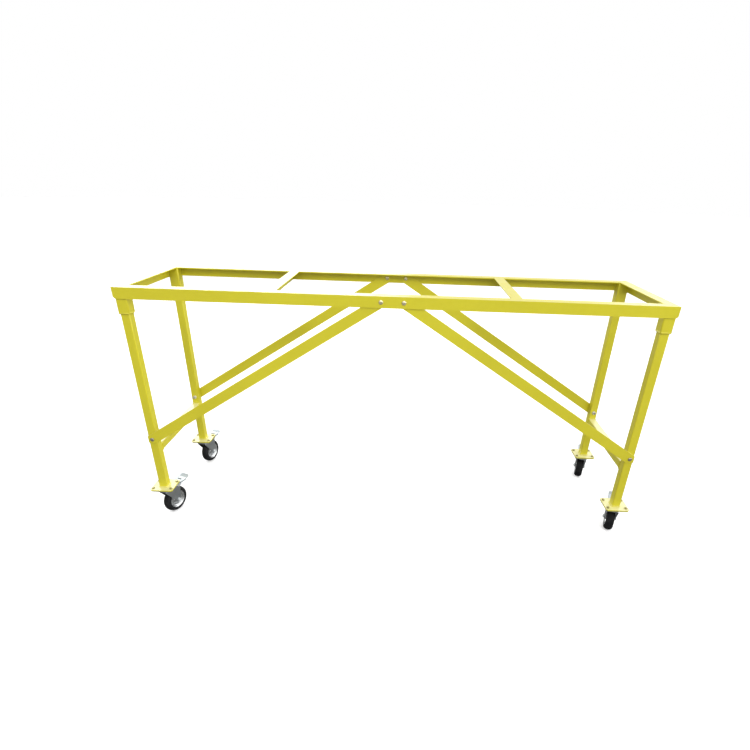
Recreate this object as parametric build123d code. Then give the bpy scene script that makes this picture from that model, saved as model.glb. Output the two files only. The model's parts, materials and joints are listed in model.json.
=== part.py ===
from build123d import *
import os
from math import cos, sin, pi, radians, hypot

# Rolling work platform bench: a knock-down welded and bolted steel frame on four braked
# swivel casters. Millimetres. X is the length, -Y the front, Z up, Z = 0 the floor.
# Every part is built about the middle of the frame. The whole is moved along Y at the
# end, so that the origin is the middle of the bounding box on the floor.

# ---- driving dimensions: frame ----
LENGTH = 2400.0
WIDTH = 570.0
HEIGHT = 1210.0
ANGLE = 50.0            # flange width of the angle iron
ANGLE_T = 5.0
CORNER_CLIP = 9.0       # clipped lower corner of each rail
DECK_BAR_X = 530.0      # middle of each deck cross bar
SOCKET = 50.0           # square socket tube
SOCKET_WALL = 4.0
SOCKET_LENGTH = 110.0
LEG = 40.0              # square leg tube
LEG_WALL = 3.0
LEG_TOP_GAP = 5.0       # from the top of the leg to the underside of the rail
TIE_TOP = 426.0         # top of the end ties above the floor
BRACE_WIDTH = 50.0
BRACE_T = 5.0
BRACE_LOW_Z = 466.0     # height of the lower brace bolts
RAIL_BOLT_X = 49.0      # upper brace bolts, either side of the middle
RAIL_BOLT_DROP = 25.0   # upper brace bolts below the top of the rail
BRACE_END = 21.0        # brace beyond its upper bolt
BRACE_FOOT = 20.0       # brace below its lower bolt
BRACE_CORNER = 6.0      # rounding of a brace's trimmed corners

# ---- driving dimensions: feet and fasteners ----
FOOT_X = 115.0
FOOT_Y = 106.0
FOOT_T = 6.0
FOOT_CLIP = 8.0
PATTERN_X = 92.0        # caster bolt pattern
PATTERN_Y = 67.0
M10 = 10.0
M10_HOLE = 11.0
M10_NUT_AF = 17.0
M10_NUT_H = 8.0
M10_WASHER_R = 10.0
WASHER_T = 1.6
DOME_R = 10.0           # domed bolt head
DOME_H = 5.5
M8 = 8.0
M8_HOLE = 9.0
M8_AF = 13.0
M8_HEAD_H = 5.3
M8_NUT_H = 6.5
M8_OVER = 2.0           # thread showing past an M8 nut
M10_OVER = 3.0          # thread showing past an M10 nut

# ---- driving dimensions: caster ----
CASTER_HEIGHT = 175.0
CASTER_PLATE_X = 112.0
CASTER_PLATE_Y = 102.0
CASTER_PLATE_T = 4.0
RACE_R = 29.0           # raceway boss under the plate
RACE_BOTTOM = 165.3
CROWN_R = 33.0
CROWN_TOP = 157.0
CROWN_T = 4.0           # crown disc, 1 mm proud of the fork's channel
DUST_RIM_T = 2.0
RIM_TOP = 167.0         # top of the crown's dust rim
SEAT_TOP = 159.0        # ball seat on the crown
SEAT_HALF = 4.0         # half width of the ball seat
BALL_R = 3.0
BALL_CIRCLE_R = 24.5
BALLS = 13
KINGPIN_R = 6.0
KINGPIN_HEAD_R = 11.0
KINGPIN_SEAT_R = 12.0   # sunk seat for the kingpin's head
KINGPIN_COLLAR_R = 9.6
KINGPIN_COLLAR_H = 6.0
RUNNING = 0.05          # radial running clearance of pins
TRAIL = 44.0            # swivel axis to axle
WHEEL_R = 68.0
TYRE_W = 41.0
TYRE_SEAT = 16.9         # outside of the tyre's foot, inside the lips of the rim
TYRE_BORE_R = 41.2
BEAD_R = 45.8           # where the tyre meets the lips of the rim
GROOVES = (-9.5, -3.2, 3.2, 9.5)
GROOVE_W = 1.8
GROOVE_D = 1.6
CROWNING = 0.0136       # fall of the tread, times the square of the offset
HUB_R = 11.0
HUB_HALF = 23.5
AXLE_R = 5.0
AXLE_HEAD_H = 6.0
FORK_IN = 24.0          # inner face of a fork leg from the middle
FORK_T = 3.0
FORK_LEAD = 28.0        # leading edge of the fork ahead of the swivel axis
FORK_LEAD_DROP = 9.0    # upright part of that edge, below the crown
FORK_FOOT = 8.0         # half width of a fork leg at its foot
FORK_BELOW = 11.0       # foot of the fork below the axle
FORK_FLARE = 5.0        # how much each side of the foot widens, up to the axle
FORK_BEND = 5.0
EAR_BEYOND = 8.0        # fork ears beyond the brake pin
EAR_OVER = 6.0          # fork ears above the brake pin
EAR_UNDER = 16.0        # upright edge of the ears below the brake pin
PIN_X = 58.0            # brake pin from the swivel axis
PIN_Z = 147.0
PIN_R = 4.0
PIN_HEAD_R = 6.4
PIN_HEAD_T = 2.0
PEDAL_T = 3.0
PEDAL_Z = 157.0         # underside of the pedal plate
PEDAL_ROOT = 6.0        # root of the plate behind the brake pin
PEDAL_WIDE = 13.0       # where the plate widens, beyond the pin
PEDAL_BEND = 63.0       # where the toe turns up
PEDAL_TIP = 84.0
TOE_RISE = 7.0
PEDAL_HALF = 26.0
PEDAL_SLOT_X = 38.0
PEDAL_SLOT = (8.0, 24.0)
PEDAL_LIP = 6.0         # turned-down side edge of the plate
PEDAL_TUBE_R = 7.0      # tube about the pin
CHEEK_OUT = 23.0        # outer face of a pedal cheek
SHOE_HALF = 14.0
SHOE_T = 4.0
BRAKE_STROKE = 15.0     # degrees from released to braked
BRAKE_GAP = 0.5         # shoe to tyre when braked

# ---- worked out ----
ROOF = HEIGHT - ANGLE_T                          # underside of the top flanges
LEG_X = LENGTH / 2 - ANGLE_T - SOCKET / 2
LEG_Y = WIDTH / 2 - ANGLE_T - SOCKET / 2
FOOT_TOP = CASTER_HEIGHT + FOOT_T
BRACE_Y = LEG_Y + LEG / 2                        # inner face of the braces
RAIL_BOLT_Z = HEIGHT - RAIL_BOLT_DROP
CASTER_PLATE_Z = CASTER_HEIGHT - CASTER_PLATE_T

# Corner name: side along X, side along Y, and the way its wheel trails in degrees from +X.
CORNERS = {
    "front_left": (-1, -1, 70.0),
    "front_right": (1, -1, 69.0),
    "rear_left": (-1, 1, 77.0),
    "rear_right": (1, 1, 71.0),
}


def block(x0, x1, y0, y1, z0, z1):
    """Box between two opposite corners."""
    return Pos((x0 + x1) / 2, (y0 + y1) / 2, (z0 + z1) / 2) * Box(x1 - x0, y1 - y0, z1 - z0)


def rod(radius, length, start, direction):
    """Cylinder from a point along a direction."""
    return Plane(origin=start, z_dir=direction) * Cylinder(
        radius, length, align=(Align.CENTER, Align.CENTER, Align.MIN)
    )


def hexagon(across_flats, height, start, direction):
    """Hexagonal prism from a point along a direction."""
    outline = RegularPolygon(across_flats / 2, 6, major_radius=False)
    return extrude(Plane(origin=start, z_dir=direction) * outline, height)


def washer(bore, radius, start, direction):
    return rod(radius, WASHER_T, start, direction) - rod(bore, WASHER_T, start, direction)


def polygon(points, plane):
    return plane * make_face(Polyline(*points, close=True))


def square_tube(size, wall, length):
    """Square tube with rounded corners, standing on the origin."""
    outside = RectangleRounded(size, size, wall + 1)
    inside = RectangleRounded(size - 2 * wall, size - 2 * wall, 1.5)
    return extrude(outside - inside, length)


# ---------------------------------------------------------------- frame

def rail(length, bolt_offsets):
    """Angle-iron rail along X with its outer face at Y = 0 and its top at Z = HEIGHT.

    The ends are mitred, and the lower end corners are clipped.
    """
    half = length / 2
    section = [
        (0, HEIGHT - ANGLE), (0, HEIGHT), (ANGLE, HEIGHT),
        (ANGLE, ROOF), (ANGLE_T, ROOF), (ANGLE_T, HEIGHT - ANGLE),
    ]
    end = Plane((-half, 0, 0), x_dir=(0, 1, 0), z_dir=(1, 0, 0))
    bar = extrude(polygon(section, end), length)
    plan = [(-half, 0), (half, 0), (half - ANGLE, ANGLE), (-half + ANGLE, ANGLE)]
    bar &= extrude(polygon(plan, Plane.XY), HEIGHT)
    for side in (-1, 1):
        corner = (side * half, HEIGHT - ANGLE)
        inward = (corner[0] - side * CORNER_CLIP, corner[1])
        clip = [corner, inward, (corner[0], corner[1] + CORNER_CLIP)]
        front = Plane((0, 0, 0), x_dir=(1, 0, 0), z_dir=(0, -1, 0))
        bar -= extrude(polygon(clip, front), -ANGLE)
    for x in bolt_offsets:
        bar -= rod(M10_HOLE / 2, ANGLE_T, (x, 0, RAIL_BOLT_Z), (0, 1, 0))
    return bar


def rails():
    long_rail = rail(LENGTH, (-RAIL_BOLT_X, RAIL_BOLT_X))
    short_rail = rail(WIDTH, ())
    front = Pos(0, -WIDTH / 2, 0) * long_rail
    side = Rot(0, 0, -90) * (Pos(0, -LENGTH / 2, 0) * short_rail)
    turned = Rot(0, 0, 180)
    return {
        "rail_front": front,
        "rail_rear": turned * front,
        "rail_left": side,
        "rail_right": turned * side,
    }


def deck_bar(side):
    """Angle cross bar flush with the top, its upright flange on the outboard side."""
    outer = side * (DECK_BAR_X + ANGLE / 2)
    inner = side * (DECK_BAR_X - ANGLE / 2)
    web = outer - side * ANGLE_T
    reach = WIDTH / 2 - ANGLE
    top = block(min(outer, inner), max(outer, inner), -reach, reach, ROOF, HEIGHT)
    half = WIDTH / 2 - ANGLE_T
    upright = block(min(outer, web), max(outer, web), -half, half, HEIGHT - ANGLE, ROOF)
    return top + upright


def leg_socket(sx, sy):
    tube = square_tube(SOCKET, SOCKET_WALL, SOCKET_LENGTH)
    return Pos(sx * LEG_X, sy * LEG_Y, ROOF - SOCKET_LENGTH) * tube


def leg(sx, sy):
    """Square leg tube with a cross hole for the lower brace bolt."""
    tube = square_tube(LEG, LEG_WALL, ROOF - LEG_TOP_GAP - FOOT_TOP)
    tube = Pos(sx * LEG_X, sy * LEG_Y, FOOT_TOP) * tube
    start = (sx * LEG_X, sy * LEG_Y - LEG, BRACE_LOW_Z)
    return tube - rod(M10_HOLE / 2, 2 * LEG, start, (0, 1, 0))


def end_tie(sx):
    """Square tube welded between the two legs of one end."""
    reach = LEG_Y - LEG / 2
    tube = square_tube(LEG, LEG_WALL, 2 * reach)
    return Plane((sx * LEG_X, -reach, TIE_TOP - LEG / 2), z_dir=(0, 1, 0)) * tube


def brace(sx, sy):
    """Flat bar from the leg up to the middle of the rail, trimmed square at both ends."""
    low = (sx * LEG_X, BRACE_LOW_Z)
    high = (sx * RAIL_BOLT_X, RAIL_BOLT_Z)
    run, rise = high[0] - low[0], high[1] - low[1]
    length = hypot(run, rise)
    across = (-rise / length * BRACE_WIDTH / 2, run / length * BRACE_WIDTH / 2)
    along = (run / length * ANGLE, rise / length * ANGLE)
    outline = [
        (low[0] - along[0] + across[0], low[1] - along[1] + across[1]),
        (high[0] + along[0] + across[0], high[1] + along[1] + across[1]),
        (high[0] + along[0] - across[0], high[1] + along[1] - across[1]),
        (low[0] - along[0] - across[0], low[1] - along[1] - across[1]),
    ]
    front = Plane((0, 0, 0), x_dir=(1, 0, 0), z_dir=(0, -1, 0))
    ends = (sx * (LEG_X + LEG / 2), sx * (RAIL_BOLT_X - BRACE_END))
    window = block(min(ends), max(ends), -BRACE_T, 0, low[1] - BRACE_FOOT, ROOF - 1)
    bar = extrude(polygon(outline, front), BRACE_T) & window
    bar = fillet(bar.edges().filter_by(Axis.Y), BRACE_CORNER)
    for x, z in (low, high):
        bar -= rod(M10_HOLE / 2, BRACE_T, (x, 0, z), (0, -1, 0))
    near = -BRACE_Y if sy < 0 else BRACE_Y + BRACE_T
    return Pos(0, near, 0) * bar


def domed_bolt(grip, start, direction):
    """Domed-head bolt: head outside the start, shank along the direction through the grip."""
    reach = grip + WASHER_T + M10_NUT_H + M10_OVER
    head = Plane(origin=start, z_dir=tuple(-d for d in direction)) * dome()
    return head + rod(M10 / 2, reach, start, direction)


def dome():
    """Domed head, revolved about its own axis."""
    sphere_r = (DOME_R ** 2 + DOME_H ** 2) / (2 * DOME_H)
    ball = Pos(0, 0, DOME_H - sphere_r) * Sphere(sphere_r)
    return ball & Cylinder(DOME_R, DOME_H, align=(Align.CENTER, Align.CENTER, Align.MIN))


def m10_nut(start, direction):
    """Washer and hexagon nut, with the thread's own diameter left open."""
    step = tuple(s + d * WASHER_T for s, d in zip(start, direction))
    nut = hexagon(M10_NUT_AF, M10_NUT_H, step, direction)
    nut -= rod(M10 / 2, M10_NUT_H, step, direction)
    return washer(M10 / 2, M10_WASHER_R, start, direction), nut


def brace_fasteners():
    """Bolts and nuts of both ends of all four braces.

    The rail bolts all have their heads to the front. The leg bolts have theirs outside.
    """
    bolts, nuts = [], []
    for sx in (-1, 1):
        for sy in (-1, 1):
            rail_grip = ANGLE_T + BRACE_T
            head_y = -WIDTH / 2 if sy < 0 else WIDTH / 2 - rail_grip
            start = (sx * RAIL_BOLT_X, head_y, RAIL_BOLT_Z)
            bolts.append(domed_bolt(rail_grip, start, (0, 1, 0)))
            nuts.extend(m10_nut((start[0], head_y + rail_grip, RAIL_BOLT_Z), (0, 1, 0)))
            leg_grip = LEG + BRACE_T
            start = (sx * LEG_X, sy * (BRACE_Y + BRACE_T), BRACE_LOW_Z)
            bolts.append(domed_bolt(leg_grip, start, (0, -sy, 0)))
            inner = (start[0], sy * (BRACE_Y - LEG), BRACE_LOW_Z)
            nuts.extend(m10_nut(inner, (0, -sy, 0)))
    return Compound(bolts), Compound(nuts)


# ---------------------------------------------------------------- feet and caster plates

def bolt_places():
    return [(sx * PATTERN_X / 2, sy * PATTERN_Y / 2) for sx in (-1, 1) for sy in (-1, 1)]


def drilled_plate(size_x, size_y, thickness, bottom):
    """Rectangular plate with clipped corners and the caster bolt pattern."""
    outline = chamfer(Rectangle(size_x, size_y).vertices(), FOOT_CLIP)
    for x, y in bolt_places():
        outline -= Pos(x, y) * Circle(M8_HOLE / 2)
    return Pos(0, 0, bottom) * extrude(outline, thickness)


def foot_plate():
    return drilled_plate(FOOT_X, FOOT_Y, FOOT_T, CASTER_HEIGHT)


def caster_plate():
    """Top plate with the pressed raceway boss and a sunk seat for the kingpin head."""
    plate = drilled_plate(CASTER_PLATE_X, CASTER_PLATE_Y, CASTER_PLATE_T, CASTER_PLATE_Z)
    plate += rod(RACE_R, CASTER_PLATE_Z - RACE_BOTTOM, (0, 0, RACE_BOTTOM), (0, 0, 1))
    plate -= rod(KINGPIN_SEAT_R, CASTER_PLATE_T, (0, 0, CASTER_PLATE_Z), (0, 0, 1))
    return plate - rod(KINGPIN_R, CASTER_HEIGHT - RACE_BOTTOM, (0, 0, RACE_BOTTOM), (0, 0, 1))


def caster_bolts():
    """Bolts with their heads on the foot plate, down through the caster plate."""
    reach = FOOT_T + CASTER_PLATE_T + M8_NUT_H + M8_OVER
    bolts = []
    for x, y in bolt_places():
        start = (x, y, FOOT_TOP)
        head = hexagon(M8_AF, M8_HEAD_H, start, (0, 0, 1))
        bolts.append(head + rod(M8 / 2, reach, start, (0, 0, -1)))
    return bolts


def caster_nuts():
    nuts = []
    for x, y in bolt_places():
        start = (x, y, CASTER_PLATE_Z)
        nut = hexagon(M8_AF, M8_NUT_H, start, (0, 0, -1))
        nuts.append(nut - rod(M8 / 2, M8_NUT_H, start, (0, 0, -1)))
    return nuts


# ---------------------------------------------------------------- caster, trailing along +X

def kingpin():
    """Rivet that hangs the fork from the plate: head above, collar below the crown."""
    head = rod(KINGPIN_HEAD_R, CASTER_PLATE_T - 1, (0, 0, CASTER_PLATE_Z), (0, 0, 1))
    bottom = CROWN_TOP - CROWN_T - 1 - KINGPIN_COLLAR_H
    shank = rod(KINGPIN_R, CASTER_PLATE_Z - bottom + 1, (0, 0, bottom), (0, 0, 1))
    return head + shank + rod(KINGPIN_COLLAR_R, KINGPIN_COLLAR_H, (0, 0, bottom), (0, 0, 1))


def swivel_balls():
    middle = (SEAT_TOP + RACE_BOTTOM) / 2
    step = 2 * pi / BALLS
    return [
        Pos(BALL_CIRCLE_R * cos(i * step), BALL_CIRCLE_R * sin(i * step), middle) * Sphere(BALL_R)
        for i in range(BALLS)
    ]


def ring(outer_r, inner_r, bottom, top):
    """Flat ring about the swivel axis."""
    height = top - bottom
    return rod(outer_r, height, (0, 0, bottom), (0, 0, 1)) - rod(inner_r, height, (0, 0, bottom), (0, 0, 1))


def fork():
    """Pressed fork: channel section cut to its side outline, with the round crown on top."""
    out = FORK_IN + FORK_T
    top = CROWN_TOP - 1
    ear_x = PIN_X + EAR_BEYOND
    ear_top = PIN_Z + EAR_OVER
    across = Plane((-FORK_LEAD, 0, 0), x_dir=(0, 1, 0), z_dir=(1, 0, 0))
    length = FORK_LEAD + ear_x
    shell = extrude(polygon([(-out, 0), (-out, top), (out, top), (out, 0)], across), length)
    shell = fillet(shell.edges().filter_by(Axis.X).group_by(Axis.Z)[-1], FORK_BEND)
    roof = top - FORK_T
    inner = [(-FORK_IN, 0), (-FORK_IN, roof), (FORK_IN, roof), (FORK_IN, 0)]
    shell -= extrude(polygon(inner, across), length)
    foot_left, foot_right = TRAIL - FORK_FOOT, TRAIL + FORK_FOOT
    foot_z = WHEEL_R - FORK_BELOW
    waist_z = foot_z + 2 * FORK_FLARE
    outline = make_face(Polyline(
        (-FORK_LEAD, top), (-FORK_LEAD, top - FORK_LEAD_DROP),
        (foot_left - FORK_FLARE, waist_z), (foot_left, foot_z),
        (foot_right, foot_z), (foot_right + FORK_FLARE, waist_z),
        (ear_x, PIN_Z - EAR_UNDER), (ear_x, ear_top), (CROWN_R + 6, ear_top), (CROWN_R, top), close=True,
    ))
    outline = fillet(outline.vertices(), 4)
    side = Plane((0, -out - 1, 0), x_dir=(1, 0, 0), z_dir=(0, -1, 0))
    body = shell & extrude(side * outline, -2 * out - 2)
    body -= block(PIN_X - 9, ear_x + 1, -FORK_IN, FORK_IN, PIN_Z - 20, top + 1)
    body += ring(CROWN_R, KINGPIN_R, CROWN_TOP - CROWN_T, CROWN_TOP)
    body += ring(CROWN_R, CROWN_R - DUST_RIM_T, CROWN_TOP, RIM_TOP)
    body += ring(BALL_CIRCLE_R + SEAT_HALF, BALL_CIRCLE_R - SEAT_HALF, CROWN_TOP, SEAT_TOP)
    body -= rod(KINGPIN_R + RUNNING, 2 * CROWN_T, (0, 0, CROWN_TOP - 2 * CROWN_T), (0, 0, 1))
    body -= rod(AXLE_R, 2 * out, (TRAIL, -out, WHEEL_R), (0, 1, 0))
    return body - rod(PIN_R, 2 * out, (PIN_X, -out, PIN_Z), (0, 1, 0))


def axle():
    """Axle bolt and its nut, clamped across the fork legs."""
    out = FORK_IN + FORK_T
    shank = rod(AXLE_R, 2 * out + AXLE_HEAD_H + 2, (TRAIL, -out, WHEEL_R), (0, 1, 0))
    bolt = shank + hexagon(M10_NUT_AF, AXLE_HEAD_H, (TRAIL, -out, WHEEL_R), (0, -1, 0))
    nut = hexagon(M10_NUT_AF, AXLE_HEAD_H, (TRAIL, out, WHEEL_R), (0, 1, 0))
    return Compound([bolt, nut - shank])


def axle_plane():
    """Plane through the axle: its x is the radius and its y the offset along the axle."""
    return Plane((TRAIL, 0, WHEEL_R), x_dir=(0, 0, 1), z_dir=(-1, 0, 0))


def about_axle(face):
    return revolve(axle_plane() * face, Axis((TRAIL, 0, WHEEL_R), (0, 1, 0)), 360)


def profile(points):
    return make_face(Polyline(*points, close=True))


def tyre():
    """Rubber tyre: bulging walls, a rounded crown and four shallow grooves."""
    half = TYRE_W / 2
    right = [
        (BEAD_R, half - 1.8), (BEAD_R + 8, half), (WHEEL_R - 7, half - 3.5), (WHEEL_R - 2.6, half - 9.5),
    ]
    left = [(r, -y) for r, y in reversed(right)]
    outside = Spline(*right, (WHEEL_R, 0), *left)
    bore_half = TYRE_SEAT - 2.3
    inside = Polyline(
        left[-1], (BEAD_R, -TYRE_SEAT), (TYRE_BORE_R, -bore_half),
        (TYRE_BORE_R, bore_half), (BEAD_R, TYRE_SEAT), right[0],
    )
    body = about_axle(make_face((outside + inside).edges()))
    for y in GROOVES:
        bottom = WHEEL_R - CROWNING * y * y - GROOVE_D
        near, far = y - GROOVE_W / 2, y + GROOVE_W / 2
        cut = [(bottom, near + 0.3), (WHEEL_R + 1, near), (WHEEL_R + 1, far), (bottom, far - 0.3)]
        body -= about_axle(profile(cut))
    return body


def rim():
    """Hub tube and two dished steel discs with wide lips."""
    lip = TYRE_SEAT
    outer = [(HUB_R, lip + 0.8), (18, lip + 0.8), (23, lip - 5.2), (34, lip - 6.2)]
    outer += [(37, lip - 1.7), (BEAD_R - 0.3, lip + 1.8)]
    inner = [(BEAD_R - 0.3, lip), (38, lip - 3.5), (34.9, lip - 8.2)]
    inner += [(22.1, lip - 7.2), (17.2, lip - 1.2), (HUB_R, lip - 1.2)]
    discs = [about_axle(profile([(r, side * y) for r, y in outer + inner])) for side in (-1, 1)]
    bore = AXLE_R + RUNNING
    hub = [(bore, -HUB_HALF), (HUB_R, -HUB_HALF), (HUB_R, HUB_HALF), (bore, HUB_HALF)]
    return Compound([about_axle(profile(hub))] + discs)


def brake_pin():
    """Headed pin through the ears of the fork."""
    out = FORK_IN + FORK_T
    pin = rod(PIN_R, 2 * out, (PIN_X, -out, PIN_Z), (0, 1, 0))
    for side in (-1, 1):
        pin += rod(PIN_HEAD_R, PIN_HEAD_T, (PIN_X, side * out, PIN_Z), (0, side, 0))
    return pin


def pedal_plate():
    """Plate with a slot and a turned-up toe."""
    root, wide, bend, tip = (PIN_X + x for x in (-PEDAL_ROOT, PEDAL_WIDE, PEDAL_BEND, PEDAL_TIP))
    section = [
        (root, PEDAL_Z), (bend, PEDAL_Z), (tip, PEDAL_Z + TOE_RISE),
        (tip - 1, PEDAL_Z + TOE_RISE + PEDAL_T), (bend - 0.5, PEDAL_Z + PEDAL_T), (root, PEDAL_Z + PEDAL_T),
    ]
    side = Plane((0, 0, 0), x_dir=(1, 0, 0), z_dir=(0, -1, 0))
    strip = extrude(side * profile(section), PEDAL_HALF, both=True)
    plan = profile([
        (root, -CHEEK_OUT), (wide - 2, -CHEEK_OUT), (wide + 3, -PEDAL_HALF), (tip, -PEDAL_HALF),
        (tip, PEDAL_HALF), (wide + 3, PEDAL_HALF), (wide - 2, CHEEK_OUT), (root, CHEEK_OUT),
    ])
    plan = fillet(plan.vertices().sort_by(Axis.X)[-2:], 11)
    slot = Pos(PIN_X + PEDAL_SLOT_X, 0) * RectangleRounded(*PEDAL_SLOT, 3)
    return strip & (Pos(0, 0, PEDAL_Z - 1) * extrude(plan - slot, TOE_RISE + PEDAL_T + 2))


def brake_pedal():
    """Released foot pedal: its plate, two cheeks, two turned-down edges, a tube and the shoe."""
    side_plane = Plane((0, 0, 0), x_dir=(1, 0, 0), z_dir=(0, -1, 0))
    cheek = profile([
        (PIN_X - PEDAL_ROOT, PEDAL_Z), (PIN_X - 7.5, PIN_Z), (PIN_X - 4, PIN_Z - 6.5),
        (PIN_X + 5, PIN_Z - 6.5), (PIN_X + 30, PIN_Z + 5), (PIN_X + 36, PEDAL_Z),
    ])
    body = pedal_plate() + brake_shoe()
    for side in (-1, 1):
        middle = side * (CHEEK_OUT - PEDAL_T / 2)
        body += Pos(0, middle, 0) * extrude(side_plane * cheek, PEDAL_T / 2, both=True)
        edges = (side * PEDAL_HALF, side * (PEDAL_HALF - PEDAL_T))
        start, end = PIN_X + PEDAL_WIDE + 3, PIN_X + PEDAL_BEND - 8
        body += block(start, end, min(edges), max(edges), PEDAL_Z - PEDAL_LIP, PEDAL_Z + 1)
    body += rod(PEDAL_TUBE_R, 2 * CHEEK_OUT, (PIN_X, -CHEEK_OUT, PIN_Z), (0, 1, 0))
    return body - rod(PIN_R + RUNNING, 2 * CHEEK_OUT, (PIN_X, -CHEEK_OUT, PIN_Z), (0, 1, 0))


def brake_shoe():
    """Curved shoe and its rib, formed so that it meets the tyre when the pedal is down."""
    turn = radians(BRAKE_STROKE)
    dx, dz = TRAIL - PIN_X, WHEEL_R - PIN_Z
    centre_x = PIN_X + dx * cos(turn) - dz * sin(turn)
    centre_z = PIN_Z + dx * sin(turn) + dz * cos(turn)
    inner = WHEEL_R + BRAKE_GAP
    width = 2 * SHOE_HALF
    start = (centre_x, -SHOE_HALF, centre_z)
    curve = rod(inner + SHOE_T, width, start, (0, 1, 0)) - rod(inner, width, start, (0, 1, 0))
    shoe = curve & block(PIN_X + 12, PIN_X + 34, -SHOE_HALF, SHOE_HALF, PIN_Z - 30, PEDAL_Z)
    rib = block(PIN_X + 15, PIN_X + 30, -PEDAL_T, PEDAL_T, PIN_Z - 30, PEDAL_Z + 1)
    return shoe + rib - rod(inner, width, start, (0, 1, 0))


# ---------------------------------------------------------------- assembly

def place(shape, corner):
    """Move a part from the swivel axis of a straight caster to its corner, trailing its way."""
    sx, sy, trail_angle = CORNERS[corner]
    return Pos(sx * LEG_X, sy * LEG_Y, 0) * Rot(0, 0, trail_angle) * shape


def stand(shape, corner):
    """Move a part that doesn't swivel to its corner."""
    sx, sy, _ = CORNERS[corner]
    return Pos(sx * LEG_X, sy * LEG_Y, 0) * shape


def frame_parts():
    parts = rails()
    for name, sx in (("left", -1), ("right", 1)):
        parts["deck_bar_" + name] = deck_bar(sx)
        parts["end_tie_" + name] = end_tie(sx)
        parts["brace_front_" + name] = brace(sx, -1)
        parts["brace_rear_" + name] = brace(sx, 1)
    for corner, (sx, sy, _) in CORNERS.items():
        parts["leg_socket_" + corner] = leg_socket(sx, sy)
        parts["leg_" + corner] = leg(sx, sy)
    parts["brace_bolts"], parts["brace_nuts"] = brace_fasteners()
    return parts


def caster_parts():
    fixed = {"foot_plate": foot_plate(), "caster_plate": caster_plate()}
    turning = {
        "fork": fork(), "axle": axle(), "tyre": tyre(), "rim": rim(),
        "brake_pin": brake_pin(), "brake_pedal": brake_pedal(),
    }
    groups = {
        "caster_bolts": caster_bolts(), "caster_nuts": caster_nuts(),
        "kingpins": [kingpin()], "swivel_balls": swivel_balls(),
    }
    parts = {}
    for corner in CORNERS:
        for name, shape in fixed.items():
            parts[name + "_" + corner] = stand(shape, corner)
        for name, shape in turning.items():
            parts[name + "_" + corner] = place(shape, corner)
    for name, shapes in groups.items():
        parts[name] = Compound([stand(s, corner) for corner in CORNERS for s in shapes])
    return parts


def main():
    parts = {**frame_parts(), **caster_parts()}
    boxes = [shape.bounding_box() for shape in parts.values()]
    middle = (min(b.min.Y for b in boxes) + max(b.max.Y for b in boxes)) / 2
    os.makedirs("parts", exist_ok=True)
    for name, shape in parts.items():
        export_step(Pos(0, -middle, 0) * shape, "parts/" + name + ".step")
    print(len(parts), "parts; the frame's middle is at Y =", round(-middle, 4))


main()
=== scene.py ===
import json
import math

import bmesh
import bpy
from mathutils import Matrix, Vector, noise


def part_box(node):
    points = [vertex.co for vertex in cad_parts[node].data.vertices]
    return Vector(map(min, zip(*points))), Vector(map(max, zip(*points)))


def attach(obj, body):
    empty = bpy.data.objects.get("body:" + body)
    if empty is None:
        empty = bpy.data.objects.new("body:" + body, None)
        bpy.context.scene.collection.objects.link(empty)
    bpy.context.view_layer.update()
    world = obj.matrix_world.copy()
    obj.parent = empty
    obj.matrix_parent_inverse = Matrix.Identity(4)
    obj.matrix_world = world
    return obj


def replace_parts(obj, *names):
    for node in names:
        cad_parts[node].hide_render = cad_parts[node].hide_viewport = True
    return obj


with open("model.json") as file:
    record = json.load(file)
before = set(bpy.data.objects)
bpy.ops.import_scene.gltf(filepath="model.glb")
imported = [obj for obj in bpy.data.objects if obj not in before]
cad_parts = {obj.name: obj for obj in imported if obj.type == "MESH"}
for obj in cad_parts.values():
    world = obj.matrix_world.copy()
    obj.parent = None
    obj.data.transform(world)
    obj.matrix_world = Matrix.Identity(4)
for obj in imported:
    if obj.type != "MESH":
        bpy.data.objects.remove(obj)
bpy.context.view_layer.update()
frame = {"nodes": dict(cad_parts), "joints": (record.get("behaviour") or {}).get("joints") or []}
nodes = frame["nodes"]
scene = bpy.context.scene
joints = {joint["name"]: joint for joint in frame["joints"]}
CORNERS = ("front_left", "front_right", "rear_left", "rear_right")
MM = 0.001
X_AXIS, Y_AXIS, UP = Vector((1, 0, 0)), Vector((0, 1, 0)), Vector((0, 0, 1))

# Sizes of the CAD part that its boxes don't give, in metres.
ANGLE = 50 * MM
ANGLE_T = 5 * MM
TUBE_CORNER = 4 * MM
BRACE_T = 5 * MM
RAIL_BOLT_X = 49 * MM
RAIL_BOLT_DROP = 25 * MM
DOME_R = 10 * MM
DOME_H = 5.5 * MM
M10_R, M10_PITCH = 5 * MM, 1.5 * MM
M10_AF, M10_NUT_H, M10_OVER = 17 * MM, 8 * MM, 3 * MM
WASHER_R, WASHER_T = 10 * MM, 1.6 * MM
M8_R, M8_PITCH = 4 * MM, 1.25 * MM
M8_AF, M8_HEAD_H, M8_NUT_H = 13 * MM, 5.3 * MM, 6.5 * MM
M8_END = 8.5 * MM            # bolt below the caster plate
PATTERN_X = 46 * MM          # half the pattern of the four caster bolts
PATTERN_Y = 33.5 * MM
CASTER_PLATE_T = 4 * MM
FORK_OUT = 27 * MM           # wheel's middle to the outer face of the fork
AXLE_R, AXLE_PITCH = 5 * MM, 1.25 * MM
AXLE_NUT_H, AXLE_OVER = 6 * MM, 2 * MM
HUB_HALF = 23.5 * MM
LIP = 16.9 * MM              # wheel's middle to the level the rim's profile is measured from
CROWNING = 0.019             # the tread falls by this times the square of the offset, in mm
# The black block in the pedal's slot is painted shade for the shadow inside the slot.
SLOT_SHADE_X = 38 * MM           # pedal's pin to the middle of its slot
SLOT_SHADE_Z = 8 * MM
SLOT_SHADE_HALF_X = 3.9 * MM
SLOT_SHADE_HALF_Y = 11.9 * MM
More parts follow.
